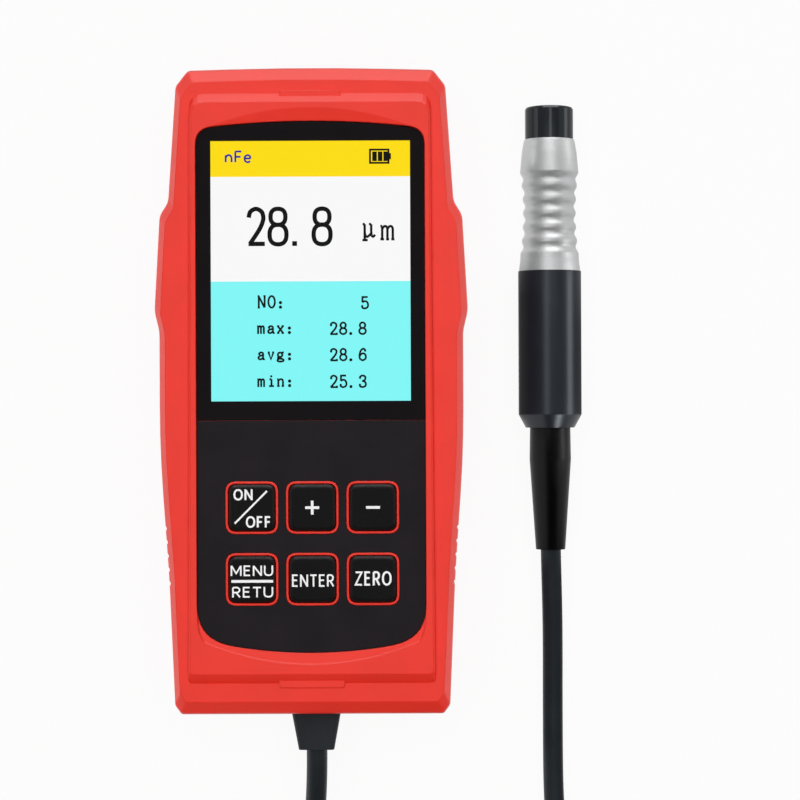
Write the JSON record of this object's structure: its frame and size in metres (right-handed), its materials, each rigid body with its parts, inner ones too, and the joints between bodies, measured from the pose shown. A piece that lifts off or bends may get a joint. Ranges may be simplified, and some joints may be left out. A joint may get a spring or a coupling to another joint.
{
  "type": "coating thickness gauge",
  "caption": "Hand-held coating thickness gauge: a red tapered case with a colour display and square keys, and a pen-shaped probe with a spring-loaded head on a flexible lead.",
  "frame": {"origin": "middle of the flat back face of the case", "axes": "+Z out of the display face, +Y towards the top of the case, +X to the right of the face, where the probe lies"},
  "size_m": [0.0816, 0.2021, 0.024],
  "materials": {
    "red_plastic": "fine satin texture",
    "black_plastic": "satin",
    "gloss_black": "gloss",
    "lens_clear": "gloss",
    "lcd": "satin",
    "grey_foam": "matte",
    "white_plastic": "satin",
    "ribbon": "satin",
    "board_green": "satin",
    "key_rubber": "matte",
    "black_rubber": "satin",
    "bright_metal": "fine turned",
    "steel": "satin",
    "brass": "satin",
    "copper": "satin",
    "cell": "satin"
  },
  "bodies": {
    "gauge": {"front_shell": "red_plastic", "rear_shell": "red_plastic", "case_screws": "steel", "display_lens": "lens_clear", "lens_gasket": "gloss_black", "lcd_glass": "lcd", "lcd_frame": "white_plastic", "lcd_pad": "grey_foam", "lcd_ribbon": "ribbon", "ribbon_connector": "white_plastic", "keypad_panel": "gloss_black", "dome_power": "key_rubber", "dome_plus": "key_rubber", "dome_minus": "key_rubber", "dome_menu": "key_rubber", "dome_enter": "key_rubber", "dome_zero": "key_rubber", "main_board": "board_green", "board_chips": "black_plastic", "buzzer": "black_plastic", "board_screws": "steel", "lead_header": "white_plastic", "lead_wires": "black_rubber", "battery_cells": "cell", "contact_plates": "steel", "contact_springs": "steel", "strain_relief": "black_rubber", "lead_from_gauge": "black_rubber", "lead_coil": "black_rubber", "lead_to_probe": "black_rubber", "lead_tie": "black_plastic", "probe_grip": "black_plastic", "probe_collar": "bright_metal", "probe_boot": "black_rubber", "probe_ferrule": "brass", "head_spring": "steel"},
    "key_power": {"key_power": "black_plastic"},
    "key_plus": {"key_plus": "black_plastic"},
    "key_minus": {"key_minus": "black_plastic"},
    "key_menu": {"key_menu": "black_plastic"},
    "key_enter": {"key_enter": "black_plastic"},
    "key_zero": {"key_zero": "black_plastic"},
    "battery_door": {"battery_door": "red_plastic"},
    "measuring_head": {"probe_head": "gloss_black", "head_stem": "black_plastic", "stem_clip": "steel", "sensor_pole": "steel", "sensor_winding": "copper"}
  },
  "joints": [
    {"name": "power_press", "type": "slide", "parent": "gauge", "child": "key_power", "axis": [0, 0, -1], "range_m": [0, 0.0006], "stiffness_N_per_m": 600, "springref_m": -0.0005, "deforming": ["dome_power"]},
    {"name": "plus_press", "type": "slide", "parent": "gauge", "child": "key_plus", "axis": [0, 0, -1], "range_m": [0, 0.0006], "stiffness_N_per_m": 600, "springref_m": -0.0005, "deforming": ["dome_plus"]},
    {"name": "minus_press", "type": "slide", "parent": "gauge", "child": "key_minus", "axis": [0, 0, -1], "range_m": [0, 0.0006], "stiffness_N_per_m": 600, "springref_m": -0.0005, "deforming": ["dome_minus"]},
    {"name": "menu_press", "type": "slide", "parent": "gauge", "child": "key_menu", "axis": [0, 0, -1], "range_m": [0, 0.0006], "stiffness_N_per_m": 600, "springref_m": -0.0005, "deforming": ["dome_menu"]},
    {"name": "enter_press", "type": "slide", "parent": "gauge", "child": "key_enter", "axis": [0, 0, -1], "range_m": [0, 0.0006], "stiffness_N_per_m": 600, "springref_m": -0.0005, "deforming": ["dome_enter"]},
    {"name": "zero_press", "type": "slide", "parent": "gauge", "child": "key_zero", "axis": [0, 0, -1], "range_m": [0, 0.0006], "stiffness_N_per_m": 600, "springref_m": -0.0005, "deforming": ["dome_zero"]},
    {"name": "battery_door_slide", "type": "slide", "parent": "gauge", "child": "battery_door", "axis": [0, -1, 0], "range_m": [0, 0.008]},
    {"name": "head_press", "type": "slide", "parent": "gauge", "child": "measuring_head", "axis": [0, -1, 0], "range_m": [0, 0.003], "stiffness_N_per_m": 200, "springref_m": -0.002, "deforming": ["head_spring"]}
  ]
}
